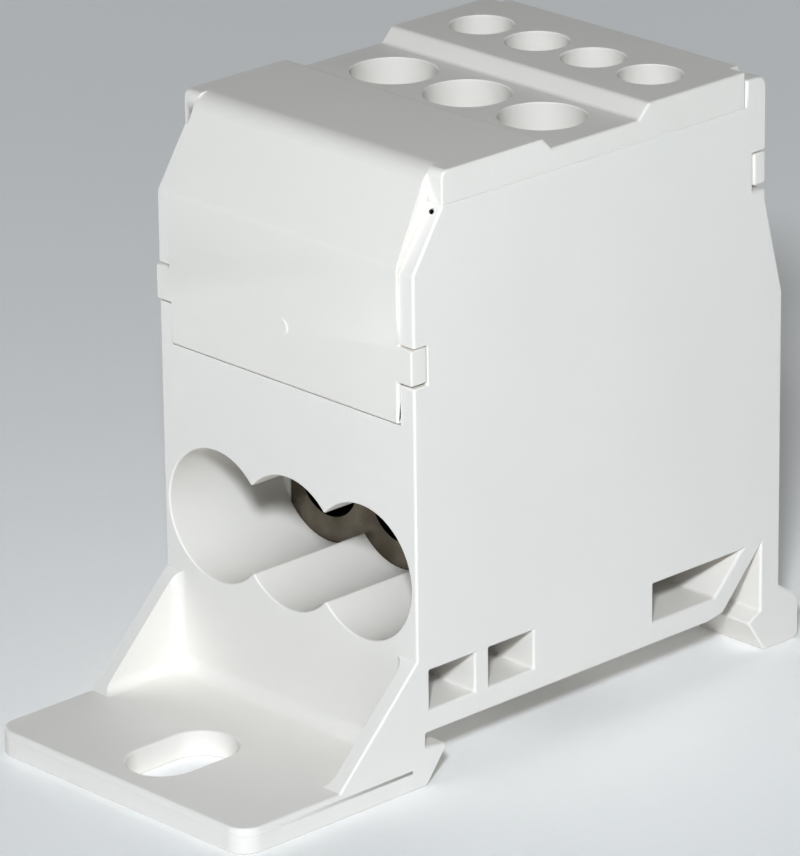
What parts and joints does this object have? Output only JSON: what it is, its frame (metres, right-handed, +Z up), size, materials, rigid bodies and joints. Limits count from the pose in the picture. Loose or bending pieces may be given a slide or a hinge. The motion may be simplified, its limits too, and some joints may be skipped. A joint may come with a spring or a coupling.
{
  "type": "power distribution block",
  "caption": "Single-pole power distribution block: moulded housing with fixing foot, rail hook and latch leg, clip-on cover, conductor bar and clamp screws.",
  "frame": {"origin": "middle of the width, under the front wall of the housing, on the underside of the fixing foot", "axes": "+X across the width, +Y from the line side with the foot to the load side, +Z up from the mounting surface"},
  "size_m": [0.0274, 0.0583, 0.0474],
  "materials": {
    "housing_plastic": "fine satin moulding",
    "cover_plastic": "fine satin moulding",
    "plated_metal": "tin plated",
    "screw_steel": "zinc plated"
  },
  "bodies": {
    "housing": {"base_housing": "housing_plastic", "cover": "cover_plastic", "conductor_bar": "plated_metal"},
    "line_screw_1": {"line_screw_1": "screw_steel"},
    "line_screw_2": {"line_screw_2": "screw_steel"},
    "line_screw_3": {"line_screw_3": "screw_steel"},
    "load_screw_1": {"load_screw_1": "screw_steel"},
    "load_screw_2": {"load_screw_2": "screw_steel"},
    "load_screw_3": {"load_screw_3": "screw_steel"},
    "load_screw_4": {"load_screw_4": "screw_steel"}
  },
  "joints": [
    {"name": "line_screw_1_travel", "type": "slide", "parent": "housing", "child": "line_screw_1", "axis": [0, 0, 1], "range_m": [-0.00565, 0]},
    {"name": "line_screw_2_travel", "type": "slide", "parent": "housing", "child": "line_screw_2", "axis": [0, 0, 1], "range_m": [-0.00565, 0]},
    {"name": "line_screw_3_travel", "type": "slide", "parent": "housing", "child": "line_screw_3", "axis": [0, 0, 1], "range_m": [-0.00565, 0]},
    {"name": "load_screw_1_travel", "type": "slide", "parent": "housing", "child": "load_screw_1", "axis": [0, 0, 1], "range_m": [-0.00368, 0]},
    {"name": "load_screw_2_travel", "type": "slide", "parent": "housing", "child": "load_screw_2", "axis": [0, 0, 1], "range_m": [-0.00368, 0]},
    {"name": "load_screw_3_travel", "type": "slide", "parent": "housing", "child": "load_screw_3", "axis": [0, 0, 1], "range_m": [-0.00368, 0]},
    {"name": "load_screw_4_travel", "type": "slide", "parent": "housing", "child": "load_screw_4", "axis": [0, 0, 1], "range_m": [-0.00368, 0]}
  ]
}
